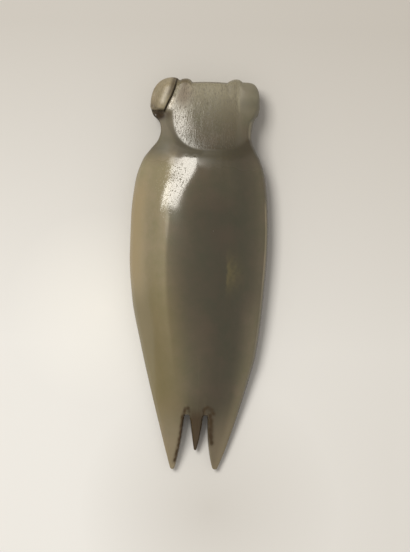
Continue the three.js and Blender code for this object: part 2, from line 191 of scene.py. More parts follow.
# %% The front edge
# Each arc is a superellipse: its centre, how far it reaches to the left, to the right and forward, and
# its power, where 2 is an ellipse and more is squarer. Places and reaches are in millimetres.
EYE_LEFT_ARC = dict(x=-5.25, y=26.6, left=3.24, right=2.3, forward=4.82, power=2.2)
BUMP_LEFT_ARC = dict(x=-3.28, y=29.9, left=1.42, right=1.42, forward=1.4, power=2)
BUMP_RIGHT_ARC = dict(x=4.72, y=30.1, left=1.5, right=1.5, forward=1.3, power=2)
EYE_RIGHT_ARC = dict(x=6.2, y=26.9, left=2.4, right=2.82, forward=4.05, power=3.2)
BROW_Y = 30.88
BROW_X = 1.0
BROW_SAG = 0.014  # millimetres for each square millimetre from its middle
BROW_ENDS = (-6, 6.8)
FRONT_BLEND = 0.12
FALL_AWAY = 8  # millimetres back for each reach that a place lies past an arc's end


def front_arc(arc, x):
    """Forward reach times (1 - q^p)^(1/p), where q is how far across the arc the place is. Past its ends
    the arc falls away."""
    reach = np.where(x < arc["x"], arc["left"], arc["right"])
    q = np.abs(x - arc["x"]) / reach
    inside = arc["forward"] * (1 - np.minimum(q, 1) ** arc["power"]) ** (1 / arc["power"])
    return arc["y"] + inside - FALL_AWAY * np.maximum(0, q - 1)


def front_edge(x):
    """The foremost of the brow, a parabola, and the four arcs, with the corners between them rounded."""
    front = BROW_Y - BROW_SAG * (x - BROW_X) ** 2
    front = np.where((x > BROW_ENDS[0]) & (x < BROW_ENDS[1]), front, 0)
    for arc in (BUMP_LEFT_ARC, BUMP_RIGHT_ARC, EYE_LEFT_ARC, EYE_RIGHT_ARC):
        front = soft_max(front, front_arc(arc, x), FRONT_BLEND)
    return front


print("front: the eyes reach y", front_edge(np.array([EYE_LEFT_ARC["x"], EYE_RIGHT_ARC["x"]])).round(2))

# %% [markdown]
# ## The fork of the tail
#
# Two saw cuts part the wing tips from the end of the abdomen. A Boolean modifier with two wedges would
# cut them too, but it leaves slivers that shade badly, so the grid itself ends on their outline. That is
# drawn the way a draughtsman would: five circles, for the three ends and the two roots, joined by curves
# that leave each circle along its tangent.

# %% The outline of the fork
# x and y as shares, then the circle's radius in millimetres, which is less than 0 at a root. A row with
# no radius bends the side between two circles.
FORK = [
    (-0.283, 1, 0.4), (-0.15, 0.936, 0), (-0.092, 0.86, -0.43), (-0.012, 0.915, 0), (0.041, 0.95, 0.22),
    (0.125, 0.913, 0), (0.172, 0.86, -0.35), (0.205, 0.942, 0), (0.338, 0.998, 0.5),
]
TIP_START = 0.94
ARC_POINTS = 24


def touch(start, centre, radius, on_left):
    """Where a line from start touches a circle: the way to the centre, turned by the angle whose sine is
    radius over distance, and as long as Pythagoras leaves it."""
    way = centre - start
    distance = np.hypot(*way)
    turn = math.asin(radius / distance) * (1 if on_left else -1)
    cos, sin = math.cos(turn), math.sin(turn)
    unit = way / distance
    reach = math.sqrt(distance**2 - radius**2)
    return start + reach * np.array([unit[0] * cos - unit[1] * sin, unit[0] * sin + unit[1] * cos])


def fork_line():
    """From the left wing's tip to the right one's: arcs of the circles and, between them, quadratic
    Bezier curves, (1-t)² of the start, 2t(1-t) of the bend and t² of the end."""
    a = TIP_START
    places = [np.array([-across(LEFT_EDGE(a)), along(a)])]
    places += [np.array([across(x), along(y) + radius]) for x, y, radius in FORK]
    places += [np.array([across(RIGHT_EDGE(a)), along(a)])]
    radii = [0, *(radius for _, _, radius in FORK), 0]
    line = []
    t = np.linspace(0, 1, ARC_POINTS)[:, None]
    inner = t[1:-1]
    for i in range(1, len(places) - 1):
        if not radii[i]:
            continue
        is_end = radii[i] > 0
        arrive = touch(places[i - 1], places[i], abs(radii[i]), not is_end)
        leave = touch(places[i + 1], places[i], abs(radii[i]), is_end)
        if line:
            start, bend = line[-1][-1], places[i - 1]
            line.append((1 - inner) ** 2 * start + 2 * inner * (1 - inner) * bend + inner**2 * arrive)
        first = math.atan2(*(arrive - places[i])[::-1])
        last = math.atan2(*(leave - places[i])[::-1])
        if is_end and last < first:
            last += 2 * math.pi
        if not is_end and last > first:
            last -= 2 * math.pi
        turn = first + (last - first) * t
        line.append(places[i] + abs(radii[i]) * np.hstack([np.cos(turn), np.sin(turn)]))
    return np.vstack(line)


fork = fork_line()
print(f"fork: {len(fork)} points, from y {fork[:, 1].min():.2f} to {fork[:, 1].max():.2f} mm")

# %% [markdown]
# ## The grid
#
# The columns of the grid run from the head to the tail. They fan out and in with the outline, so none
# is wasted, and they crowd together where there is more to show: at the two rims, beside the left eye,
# where a crack runs, and along the saw cuts. In the head they also lean, so that one of them follows the
# crack exactly and its edge is crisp. Each column ends on the fork's outline.

# %% The crack beside the left eye
# From the front edge back along the eye, then out to the side behind it.
CRACK = np.array([(-4.2, 31.6), (-4.55, 30.1), (-4.74, 29.44), (-5.1, 28.37), (-5.48, 27.56), (-5.83, 26.75),
                  (-6.2, 25.85), (-6.9, 25.8), (-7.55, 25.85), (-8.2, 26.0)])
CRACK_SIDE = CRACK[:7]
CRACK_REAR = CRACK[6:]


def crack_x(y):
    """The crack's place across, straight from point to point."""
    return np.interp(y, CRACK_SIDE[::-1, 1], CRACK_SIDE[::-1, 0])


print(f"crack: {np.hypot(*np.diff(CRACK, axis=0).T).sum():.1f} mm long")

# %% Columns and rows
COLUMNS = 148
HEAD_ROWS, BODY_ROWS, TAIL_ROWS = 122, 104, 92
HEAD_END, TAIL_START = 17.5, -20.5  # millimetres, where the three parts meet
HEAD_CROWDING, TAIL_CROWDING = 1.25, 1.35  # more than 1 draws the rows towards the front or the fork
FRONT_Y = 30.0  # where a column's place across is read to find its start on the front edge
CRACK_COLUMN = -0.62  # the share across of the column that follows the crack
LEAN_FADE = (19, 25)  # millimetres along, over which the columns begin to lean
# Where columns crowd together: the share across, how much closer they stand there, and over what width.
CROWDS = [(-1, 2.2, 0.05), (1, 2.2, 0.05), (CRACK_COLUMN, 2.4, 0.045), (-0.25, 0.9, 0.16), (0.3, 0.9, 0.14)]


def spaced(weight, count):
    """count + 1 values from -1 to 1, as close together as weight is great: the running sum of the weight,
    read backwards at even steps."""
    fine = np.linspace(-1, 1, 4001)
    total = np.cumsum(weight(fine))
    return np.interp(np.linspace(total[0], total[-1], count + 1), total, fine)


def column_weight(s):
    """1 and, round each crowd, a bell: more * exp(-((s - at) / width)²)."""
    return 1 + sum(more * np.exp(-(((s - at) / width) ** 2)) for at, more, width in CROWDS)


def place_of(s, y):
    """x of a column at y. In the head the columns lean by a parabola across, which is as tall as it needs
    to be for the column CRACK_COLUMN to lie on the crack."""
    middle, half = middle_and_half(share_along(y))
    lean = (crack_x(y) - middle) / half - CRACK_COLUMN
    lean = lean * smooth_step(*LEAN_FADE, y)
    return middle + half * (s + lean * (1 - s * s) / (1 - CRACK_COLUMN**2))


s_row = spaced(column_weight, COLUMNS)
s_row[0], s_row[-1] = -1, 1
fork_middle, fork_half = middle_and_half(share_along(fork[:, 1]))
fork_s = np.maximum.accumulate((fork[:, 0] - fork_middle) / fork_half)
y_end = np.interp(s_row, fork_s, fork[:, 1])
y_front = front_edge(place_of(s_row, np.full(COLUMNS + 1, FRONT_Y)))

head_t = np.linspace(0, 1, HEAD_ROWS + 1)[:, None] ** HEAD_CROWDING
body_t = np.linspace(0, 1, BODY_ROWS + 1)[1:, None]
tail_t = 1 - (1 - np.linspace(0, 1, TAIL_ROWS + 1)[1:, None]) ** TAIL_CROWDING
y_grid = np.vstack([
    y_front + (HEAD_END - y_front) * head_t,
    HEAD_END + (TAIL_START - HEAD_END) * body_t + 0 * y_front,
    TAIL_START + (y_end - TAIL_START) * tail_t,
])
s_grid = np.broadcast_to(s_row, y_grid.shape)
x_grid = place_of(s_grid, y_grid)
rows = len(y_grid) - 1
print(f"grid: {rows} rows by {COLUMNS} columns, {4 * rows * COLUMNS} triangles")

# %% [markdown]
# ## The heights
#
# A cross-section of the body is a low crown between two soft creases, with a bevel from each crease down
# to an upright rim. Along the body each of its sizes swells and sinks by a curve of its own. Sections
# lofted by hand would do as well, but a few curves are easier to match to the real one's light and shade.

# %% Curves along the body
# RIM, BACK and BELLY are heights as shares of the thickness: of the rim, of the top and of the abdomen.
RIM = through([(0, 0.41), (0.07, 0.43), (0.15, 0.43), (0.21, 0.4), (0.34, 0.367), (0.5, 0.344),
               (0.66, 0.3), (0.82, 0.215), (1, 0.12)])
BACK = through([(0, 0.55), (0.03, 0.61), (0.06, 0.665), (0.09, 0.71), (0.12, 0.753), (0.175, 0.834),
                (0.205, 0.884), (0.235, 0.915), (0.26, 0.9375), (0.295, 0.969), (0.32, 0.988), (0.345, 0.997),
                (0.375, 1), (0.44, 1), (0.51, 0.985), (0.58, 0.95), (0.66, 0.875), (0.738, 0.74), (0.817, 0.55),
                (0.85, 0.475), (0.945, 0.31), (1, 0.23)])
BELLY = through([(0, 0.19), (0.055, 0.135), (0.12, 0.1), (0.18, 0.05), (0.24, 0.004), (0.243, 0), (0.64, 0),
                 (0.643, 0.0015), (0.73, 0.03), (0.82, 0.052), (0.91, 0.066), (1, 0.072)])
# How much the crown falls, as a share of the cross-section's height, for each half width squared.
CROWN = through([(0.2, 0.56), (0.26, 0.56), (0.32, 0.47), (0.36, 0.45), (0.46, 0.38), (0.58, 0.3), (0.74, 0.4),
                 (0.9, 0.6)])
# How far to the right the crown's top lies, in millimetres. It wanders, so the window's reflection leans.
RIDGE = through([(0.2, 1.3), (0.24, 0.7), (0.278, -0.45), (0.306, -1.1), (0.33, -1.45), (0.36, -1.3), (0.46, 0)])
CREASE_SOFTNESS = through([(0.2, 0.05), (0.34, 0.04), (0.5, 0.06), (0.62, 0.14), (0.75, 0.3), (1, 0.4)])
# The abdomen's half width and its middle, across. Its end, between the saw cuts, lies below the wing tips.
ABDOMEN = through([(0.2, 0.4156), (0.64, 0.29), (0.66, 0.2843), (0.78, 0.21), (0.86, 0.125), (1, 0.08)])
ABDOMEN_MIDDLE = through([(0.64, 0), (0.86, 0.045), (1, 0.045)])
PRONG_HALF = 0.1
PRONG_DROP = through([(0.8, 0), (0.86, 0.04), (0.95, 0.13)])
# The narrow facet on the left lies between these two shares of the half width.
STRIP_INNER = 0.465
STRIP_OUTER = through([(0.2, 0.53), (0.26, 0.535), (0.29, 0.56), (0.34, 0.59)])
STRIP_SLOPE = 0.56
STRIP_SOFTNESS = 0.4  # its outer edge is this many times as soft as the crease
CREASE_RIGHT = 0.4
BEVEL_POWER = 1.25
RIM_LIP = 0.1  # where the bevel ends, as a share of the way up from the rim

# %% [markdown]
# The head shield is a plate that stands proud of the neck. Its edge is half a superellipse, and the
# ground beyond it has been cut down to make it stand out, deepest behind the head. It isn't a piece of
# its own, because the real one is cut from the same stone.

# %% The head shield and the collar round it
SHIELD_X, SHIELD_Y, SHIELD_REACH = 0.075, 0.086, 0.102
SHIELD_LEFT, SHIELD_RIGHT = (0.53, 2.5), (0.66, 3.2)  # half width as a share, and power
COLLAR_DEPTH = 0.3  # millimetres
COLLAR_EDGE = (-0.25, 1.1)  # millimetres beyond the shield's edge, over which the ground sinks
COLLAR_START = (0.075, 0.1)  # shares along, over which the collar begins
COLLAR_END = 0.192  # the share along at which the ground behind the shield rises to the back again
COLLAR_RISE, SIDE_RISE = 0.018, 0.016  # half the run of that rise, and what it gains towards the sides


def shield_ring(x, y):
    """1 on the shield's edge and less inside: the p-th root of across^p + along^p, in half widths."""
    dx = x - across(SHIELD_X)
    half = np.where(dx < 0, SHIELD_LEFT[0], SHIELD_RIGHT[0])
    power = np.where(dx < 0, SHIELD_LEFT[1], SHIELD_RIGHT[1])
    q = np.abs(dx) / across(half)
    r = np.maximum(0, share_along(y) - SHIELD_Y) / SHIELD_REACH
    return (q**power + r**power) ** (1 / power)


def beyond_shield(x, y, nudge=0.05, least_growth=0.05):
    """Millimetres outside the shield's edge, less than 0 inside: the ring's excess over 1, divided by how
    fast it grows."""
    ring = shield_ring(x, y)
    growth = np.hypot(shield_ring(x + nudge, y) - ring, shield_ring(x, y - nudge) - ring) / nudge
    return (ring - 1) / np.maximum(growth, least_growth)


# %% [markdown]
# The eyes are long beads and the bumps beside them round ones. Spheres joined by a Boolean would meet the
# head in a hard line. Here each bead is one more height, and a soft maximum joins it to the head with a
# fillet. Only the left eye has a hard edge, because the crack runs along it.

# %% The eyes and the bumps beside them
# Each is a bead: x, y, z of its centre, half its length, width and height, its turn in degrees, how much
# it dips towards the front, and how softly it meets the head. Lengths are in millimetres.
EYE_LEFT = dict(x=-5.75, y=28.5, z=3.9, long=3.15, wide=2.1, high=1.95, tilt=18.5, dip=0.13, soft=0.1)
EYE_RIGHT = dict(x=6.75, y=28.0, z=3.9, long=3.2, wide=2.1, high=1.45, tilt=-8, dip=0.08, soft=0.6)
BUMP_LEFT = dict(x=-3.28, y=29.6, z=3.8, long=1.8, wide=1.4, high=1.4, tilt=0, dip=0.2, soft=0.35)
BUMP_RIGHT = dict(x=4.72, y=29.6, z=3.8, long=1.8, wide=1.45, high=1.4, tilt=0, dip=0.2, soft=0.5)


def bead_height(bead, x, y):
    """The upper half of a bead, blunter at its ends than an ellipsoid: its height times sqrt(1 - u² - v⁴),
    where u is how far out the place is to the side and v lengthwise. Outside it, well below anything."""
    tilt = math.radians(bead["tilt"])
    dx, dy = x - bead["x"], y - bead["y"]
    side = (dx * math.cos(tilt) - dy * math.sin(tilt)) / bead["wide"]
    end = (dx * math.sin(tilt) + dy * math.cos(tilt)) / bead["long"]
    q = side**2 + end**4
    top = bead["z"] + bead["high"] * np.sqrt(np.maximum(0, 1 - q)) - bead["dip"] * dy
    return np.where(q < 1, top, bead["z"] - 2 * q)


# %% The folded wings
INSIDE_RISE = 0.6  # how fast a bevel goes on rising inside its crease


def bevel(s, crease, height):
    """From a height at the crease down to the lip at the rim: height less the rest times t^p, where t is
    how far out from the crease the place is. Inside the crease it goes on rising, so that a soft minimum
    can join it to what lies there."""
    t = (np.abs(s) - crease) / (1 - crease)
    fall = np.where(t > 0, np.maximum(t, 0) ** BEVEL_POWER, INSIDE_RISE * t)
    return height - (height - RIM_LIP) * fall


def wing_share(s, x, a):
    """The height of the wings' cross-section between the rim, 0, and the top of the back, 1: the least of
    the crown, a parabola, and the bevels, with the narrow facet between them on the left."""
    middle, half = middle_and_half(a)
    crown = 1 - CROWN(a) * ((x - middle - RIDGE(a)) / half) ** 2
    inner = 1 - CROWN(a) * (STRIP_INNER + RIDGE(a) / half) ** 2
    strip = inner - STRIP_SLOPE * (-s - STRIP_INNER)
    outer = inner - STRIP_SLOPE * (STRIP_OUTER(a) - STRIP_INNER)
    left = soft_min(strip, bevel(s, STRIP_OUTER(a), outer), STRIP_SOFTNESS * CREASE_SOFTNESS(a))
    right = bevel(s, CREASE_RIGHT, 1 - CROWN(a) * (CREASE_RIGHT - RIDGE(a) / half) ** 2)
    return soft_min(crown, np.where(s < 0, left, right), CREASE_SOFTNESS(a))


# %% The head's roof
HEAD_ROOF, HEAD_ROOF_AT = 0.078, 0.53  # how far it has dropped, and where, as shares
ROOF_LEFT, ROOF_RIGHT = (4, 0.76), (2.5, 2)  # the curve's power, and the run from which it goes on straight


def roof_drop(x):
    """How far the head's roof has dropped from its top: run^p, and from a place q on the straight line
    that touches the curve there."""
    run = np.abs(x - across(SHIELD_X)) / across(HEAD_ROOF_AT)
    power, straight = (np.where(x < across(SHIELD_X), *pair) for pair in zip(ROOF_LEFT, ROOF_RIGHT))
    curved = np.minimum(run, straight) ** power
    return HEAD_ROOF * THICK * (curved + power * straight ** (power - 1) * np.maximum(0, run - straight))


# %% The whole back
SHOULDER = (0.15, 0.23)  # shares along, over which the head's roof gives way to the wings
STRIATION = 0.005  # the depth of the grinding marks on the shield, in millimetres
UNEVEN = 0.03  # how far the whole back wavers, in millimetres


def off_prong(x, a):
    """How far to the side of the abdomen's end a place lies, in half widths of that end."""
    return np.abs(x - across(ABDOMEN_MIDDLE(a))) / across(PRONG_HALF)


def back_height(s, x, y):
    """The head's roof in front and the wings behind, less the collar, with the beads joined to them and
    the abdomen's end let down. The left eye ends at the crack."""
    a = share_along(y)
    rim, top = RIM(a) * THICK, BACK(a) * THICK
    wings = rim + (top - rim) * wing_share(s, x, a)
    roof = np.maximum(top - roof_drop(x), rim + RIM_LIP * THICK)
    shoulder = smooth_step(*SHOULDER, a)
    z = roof + (wings - roof) * shoulder
    out = beyond_shield(x, y)
    rise = COLLAR_RISE + SIDE_RISE * smooth_step(0.45, 0.75, np.abs(s))
    collar = smooth_step(*COLLAR_EDGE, out) * (1 - smooth_step(COLLAR_END - rise, COLLAR_END + rise, a))
    z -= COLLAR_DEPTH * collar * smooth_step(*COLLAR_START, a)
    on_shield = (1 - smooth_step(-0.2, 0, out)) * (1 - shoulder)
    z += STRIATION * on_shield * ripple(x * 6, y, 5, seed=3)
    for bead in (EYE_RIGHT, BUMP_LEFT, BUMP_RIGHT):
        z = soft_max(z, bead_height(bead, x, y), bead["soft"])
    left_eye = soft_max(z, bead_height(EYE_LEFT, x, y), EYE_LEFT["soft"])
    z = np.where(x < crack_x(y) + 0.05, left_eye, z)
    z += UNEVEN * ripple(x, y, 9, seed=11)
    prong = 1 - smooth_step(0.9, 1.5, off_prong(x, a))
    return z - PRONG_DROP(a) * THICK * prong


# %% [markdown]
# The belly isn't seen in the photograph, and is plainer. The abdomen stands proud of the wings'
# undersides, and a few wheel cuts, each deepest at its middle, mark its rings and the throat.

# %% The belly
WING_STEP, WING_STEP_RUN = 0.5, 2.4  # millimetres up from the abdomen, and out to where the step has faded
WING_STEP_START, WING_STEP_END = (0.2, 0.26), (0.84, 0.88)  # shares along
FLAT_MARGIN = 0.1  # how far past the abdomen's sides the wings' undersides begin to rise
THROAT_CURVE = 0.25  # how far the throat rises at its sides, as a share of the way up to the rim
THROAT_END = (0.14, 0.22)
CUT_WIDTH, CUT_DEPTH = 0.8, 0.35
RINGS = np.linspace(0.67, 0.8, 6)
THROAT = [((-0.62, 0.15), (0.1, 0.215)), ((0.68, 0.15), (-0.04, 0.215))]


def wheel_cut(x, y, start, end):
    """A cut shaped like a boat: along it u runs from -1 to 1, its half width and its depth are sqrt(1-u²)
    of the full ones, and its sides are straight."""
    start = np.array([across(start[0]), along(start[1])])
    end = np.array([across(end[0]), along(end[1])])
    half, centre = (end - start) / 2, (end + start) / 2
    u = ((x - centre[0]) * half[0] + (y - centre[1]) * half[1]) / (half @ half)
    v = np.abs((x - centre[0]) * half[1] - (y - centre[1]) * half[0]) / np.hypot(*half)
    swell = np.sqrt(np.clip(1 - u * u, 0, 1))
    return CUT_DEPTH * np.maximum(0, swell - v / (CUT_WIDTH / 2))


def belly_height(s, x, y):
    """The throat in front and the wings' undersides behind, which stand a step above the flat abdomen, and
    the wheel cuts."""
    a = share_along(y)
    rim, belly = RIM(a) * THICK, BELLY(a) * THICK
    inner = ABDOMEN(a)
    out = np.clip((np.abs(s) - inner - FLAT_MARGIN) / (1 - inner - FLAT_MARGIN), 0, 1)
    wing = belly + (rim - (rim - belly) * RIM_LIP - belly) * out
    throat = belly + (rim - belly) * THROAT_CURVE * s * s
    z = throat + (wing - throat) * smooth_step(*THROAT_END, a)
    outside = np.abs(x - across(ABDOMEN_MIDDLE(a))) - across(inner)
    step = smooth_step(-0.05, 0.2, outside) * (1 - smooth_step(0.2, WING_STEP_RUN, outside))
    z += WING_STEP * step * smooth_step(*WING_STEP_START, a) * (1 - smooth_step(*WING_STEP_END, a))
    for ring in RINGS:
        middle, half = ABDOMEN_MIDDLE(ring), ABDOMEN(ring)
        z += wheel_cut(x, y, (middle - half, ring), (middle + half, ring))
    for start, end in THROAT:
        z += wheel_cut(x, y, start, end)
    return z


# %% [markdown]
# Both sheets close on the rim along the whole outline. Each way of nearing the edge, from the side, from
# the front and from the fork, rounds over by a quarter of a circle or a blunter curve, and the three are
# multiplied. The crack is cut afterwards, straight down.

# %% Closing the two sheets, and the crack
# In millimetres: how far in from each edge the rounding goes, and the size of the crack and of the pit
# that the broken stone has left behind the eye.
NOSE_ROUND, EYE_ROUND = 0.7, 1.6
EDGE_LEFT, EDGE_RIGHT = 0.6, 0.5
FORK_ROUND = 0.3
CRACK_HALF, CRACK_DEPTH = 0.14, 0.3
PIT_HALF, PIT_DEPTH = 0.3, 0.4


def quarter(t):
    """A quarter of a circle: 0 at 0, upright there, and level by 1."""
    return np.sqrt(1 - (1 - np.clip(t, 0, 1)) ** 2)


a_grid = share_along(y_grid)
side_reach = np.where(s_grid < 0, EDGE_LEFT, EDGE_RIGHT)
side_close = quarter((1 - np.abs(s_grid)) * middle_and_half(a_grid)[1] / side_reach)
front_reach = NOSE_ROUND + (EYE_ROUND - NOSE_ROUND) * smooth_step(0.5, 0.7, np.abs(s_grid))
front_close = quarter((y_front - y_grid) / front_reach)
to_fork = distance_to(fork, x_grid, y_grid)
to_fork[-1] = 0  # the last row lies on it
close = side_close * front_close * quarter(to_fork / FORK_ROUND)

rim_grid = RIM(a_grid) * THICK
crack_side = distance_to(CRACK_SIDE, x_grid, y_grid)
crack_rear = distance_to(CRACK_REAR, x_grid, y_grid)
crack = CRACK_DEPTH * np.maximum(0, 1 - crack_side / CRACK_HALF)
pit = PIT_DEPTH * (1 - smooth_step(0.1, 1, crack_rear / PIT_HALF)) * (1 + 0.3 * ripple(x_grid, y_grid, 0.7, 5))

z_top = rim_grid + (back_height(s_grid, x_grid, y_grid) - rim_grid) * close
z_top -= np.maximum(crack, pit) * close
z_low = rim_grid + (belly_height(s_grid, x_grid, y_grid) - rim_grid) * close
z_low = np.minimum(z_low, z_top)
print(f"heights: back up to {z_top.max():.2f} mm, belly down to {z_low.min():.2f} mm")

# %% [markdown]
# ## The mesh
#
# The two sheets share their edges: the front row, the back row and the outermost column on each side. A
# Solidify modifier would close a single sheet too, but only at an even thickness, which a carving hasn't.
# The faces of the belly are listed the other way round, so that all of them point outwards.

# %% Sheets to mesh
def closed_sheets(name, x, y, top, bottom):
    """One closed mesh of two height sheets on a grid whose outer ring they share. A face is four
    neighbours of the grid."""
    number = np.arange(x.size).reshape(x.shape)
    inner = number[1:-1, 1:-1]
    below = number.copy()
    below[1:-1, 1:-1] = x.size + np.arange(inner.size).reshape(inner.shape)
    points = np.stack([x, y, top], -1).reshape(-1, 3)
    inside = np.stack([x, y, bottom], -1)[1:-1, 1:-1].reshape(-1, 3)

    def quads(grid):
        return np.stack([grid[:-1, :-1], grid[1:, :-1], grid[1:, 1:], grid[:-1, 1:]], -1).reshape(-1, 4)

    faces = np.vstack([quads(number), quads(below)[:, ::-1]]).astype(np.int32)
    mesh = bpy.data.meshes.new(name)
    vertices = np.vstack([points, inside]) * MM
    mesh.vertices.add(len(vertices))
    mesh.vertices.foreach_set("co", vertices.astype(np.float32).ravel())
    mesh.loops.add(faces.size)
    mesh.loops.foreach_set("vertex_index", faces.ravel())
    mesh.polygons.add(len(faces))
    mesh.polygons.foreach_set("loop_start", np.arange(0, faces.size, 4, dtype=np.int32))
    mesh.update(calc_edges=True)
    mesh.validate()
    mesh.shade_smooth()
    piece = bpy.data.objects.new(name, mesh)
    bpy.context.scene.collection.objects.link(piece)
    return piece


cicada = closed_sheets("jade_cicada", x_grid, y_grid, z_top, z_low)
print(f"mesh: {len(cicada.data.vertices)} vertices, {len(cicada.data.polygons)} faces")

# %% [markdown]
# ## What lies where
#
# Dirt in the cuts, the scraped shield and the warmer skin of the stone follow the carving, and so do the
# painted light and shade: shade in the valley and along some edges, highlights and reflections on the
# rims, the crease, the left eye and the right wing, and light on the flank that faces the window and
# through the thin tail. They could be painted by hand, but they are easier to place with the numbers that
# made the heights, so they are worked out on the same grid and kept on the mesh as attributes, which the
# material reads. Each is a map from 0 to 1, put together from four simple forms: a step, a band between
# two steps, a soft line and a spot.
# `a` runs from the head to the tail and `s` from side to side, both as shares. `x` and `y` are in
# millimetres.

# %% Simple forms for the maps
def band(v, start, full, fade, end):
    """0 before start, 1 from full to fade, and 0 after end: one smooth step up times one down."""
    return smooth_step(start, full, v) * (1 - smooth_step(fade, end, v))


def soft_line(distance, half):
    """1 on a line, falling to 0 beside it: exp(-(distance / half)²)."""
    return np.exp(-((distance / half) ** 2))


def spot(x, y, centre, size, power=1.0):
    """1 in the middle of an oval spot, falling to 0 around its edge: exp(-q^power), where q is the square of
    how far out the place is. More power makes the spot flatter, with a sharper edge."""
    q = ((x - centre[0]) / size[0]) ** 2 + ((y - centre[1]) / size[1]) ** 2
    return np.exp(-(q**power))


def strongest(*maps):
    """The greatest of the maps at each place."""
    return np.maximum.reduce(maps)


x, y, s, a = x_grid, y_grid, s_grid, a_grid
none = np.zeros(x.shape)
out = beyond_shield(x, y)
from_crack = x - crack_x(y)
on_eye = (from_crack < -0.1) * (y > 25.9) * smooth_step(0, 0.25, crack_side)

# %% [markdown]
# Dirt has stayed in the crack, in the broken place behind the left eye, in a groove at that eye's back and
# in one small pit on the crown.

# %% Dirt
GROOVE = np.array([(-8.2, 26.75), (-7.6, 26.35), (-6.95, 26.17), (-6.4, 26.2)])
behind_eye = spot(x, y, (-7.1, 25.2), (1.25, 0.85), 2)
mottle = np.clip(0.95 + 0.5 * ripple(x, y, 0.6, seed=30), 0.6, 1)
dirt = strongest(
    soft_line(crack_side, 0.14),
    0.9 * soft_line(crack_rear, 0.17),
    0.5 * soft_line(distance_to(GROOVE, x, y), 0.12),
    0.6 * spot(x, y, (2.2, 7.0), (0.14, 0.14)),
    behind_eye * mottle,
)
print(f"dirt: {(dirt > 0.5).mean():.1%} of the back's grid")

# %% [markdown]
# The back is polished, a little less along its left crease. The shield is only ground, and the neck,
# which a wheel can't reach, is dull. The valley round the shield is tinted darker as painted shade in
# that recess.

# %% Shield, neck and the valley's painted shade
shield = (1 - smooth_step(-0.4, 0.1, out)) * (1 - smooth_step(5, 6.2, x))
beside_crack = smooth_step(0.15, 0.3, from_crack) * smooth_step(25.7, 26.3, y) * (1 - smooth_step(-4, -3, x))
shield = strongest(shield, beside_crack)
pink = spot(x, y, (-3.3, 28.6), (1.4, 2.2), 1.3) * smooth_step(0.5, 1.2, from_crack)

neck_end = 0.203 + 0.01 * smooth_step(-1.2, 0, x) - 0.003 * ripple(x, y, 1.5, seed=8)
blur = 0.006 + 0.044 * strongest(smooth_step(-1.2, 1, x), smooth_step(0.5, 0.75, -s))
neck = 1 - smooth_step(neck_end - blur, neck_end + blur, a)
right_side = smooth_step(5.6, 6.4, x) * neck
left_side = smooth_step(0.42, 0.6, -s) * neck

# Painted shade: the valley round the shield is tinted dark for the shade in that recess, weaker at the far left and
# towards the right.
valley_painted_shade = band(out, -0.6, 0.1, 1.1, 2.4) * band(a, 0.13, 0.17, 0.2, 0.23)
shade = valley_painted_shade * (0.25 + 0.7 * smooth_step(-4, -1, x)) * (1 - 0.5 * smooth_step(2.5, 5, x))

# %% Roughness
POLISHED, GROUND, DULL, WEATHERED = 0.12, 0.23, 0.66, 0.42
REAR_LOSS = 0.06  # how much rougher the polish is behind the shoulder
SATIN = 0.3  # along the left crease, and at the front of the bright reflection
PINK_SKIN = 0.55
GLINT = 0.3  # one small facet in the broken place behind the left eye, which catches the window
BELLY_FINISH = 0.3

satin = strongest(spot(x, y, (-5.15, 7.6), (0.35, 3), 2), spot(x, y, (-4.2, 18.2), (1.2, 0.9)))
glint = spot(x, y, (-7.6, 25.2), (0.17, 0.17))
roughness = POLISHED + REAR_LOSS * smooth_step(0.27, 0.34, a)
for level, share in ((SATIN, satin), (DULL, neck), (GROUND, shield), (WEATHERED, strongest(on_eye, right_side)),
                     (PINK_SKIN, pink)):
    roughness += (level - roughness) * share
roughness = strongest(roughness, dirt, behind_eye)
roughness += (GLINT - roughness) * glint
print(f"roughness: {roughness.min():.2f} to {roughness.max():.2f}")

# %% [markdown]
# Pale is the pebble's own paler skin at the front of the head, and painted light elsewhere: the left
# flank is lighter as the side that faces the window, the tail for the light that comes through the thin
# stone, and the rims and the left crease carry painted highlights as pale lines. Warm, cream and front are
# tints of that skin, and warm and cream also hold painted light.

# %% Pale stone, and painted light
# Across the body: high on the left flank, as painted light on the side that faces the window, and low on the right.
SKIN_AND_LIT_FLANK_ACROSS = through([(-1, 0.85), (-0.9, 0.95), (-0.75, 0.82), (-0.6, 0.86), (-0.5, 0.9), (-0.43, 0.38),
                       (-0.25, 0.14), (0, 0.04), (0.3, 0), (0.55, 0.04), (0.8, 0.15), (0.93, 0.3),
                       (0.985, 0.2), (1, 0)])
# Towards the tail: painted light that comes through the thin stone, strongest on the left.
TAIL_ACROSS = through([(-1, 0.85), (-0.4, 0.52), (0, 0.2), (0.4, 0.05), (0.7, 0.14), (0.93, 0.6),
                       (0.985, 0.2), (1, 0)])
HEAD_ALONG = through([(0.01, 0.95), (0.035, 0.9), (0.06, 0.66), (0.12, 0.27), (0.16, 0.12), (0.195, 0),
                      (0.22, 0.1)])
rear_flank = smooth_step(0.5, 0.6, a) * (1 - 0.7 * smooth_step(0.66, 0.78, a)) * smooth_step(0.6, 0.85, -s)

pale_skin_and_painted_light = SKIN_AND_LIT_FLANK_ACROSS(s) + (TAIL_ACROSS(s) - SKIN_AND_LIT_FLANK_ACROSS(s)) * smooth_step(0.5, 0.85, a)
# Painted light: a faint glow round the window's reflection on the shoulder.
pale_skin_and_painted_light += 0.09 * (1 - smooth_step(0.25, 0.36, a)) * (1 - smooth_step(0.4, 0.7, s))
pale_skin_and_painted_light += 0.12 * band(s, 0.6, 0.8, 0.93, 0.97) * band(a, 0.54, 0.62, 0.74, 0.82)
pale_skin_and_painted_light += (HEAD_ALONG(a) - pale_skin_and_painted_light) * (1 - smooth_step(0.16, 0.24, a))
pale_skin_and_painted_light *= 1 - 0.42 * rear_flank
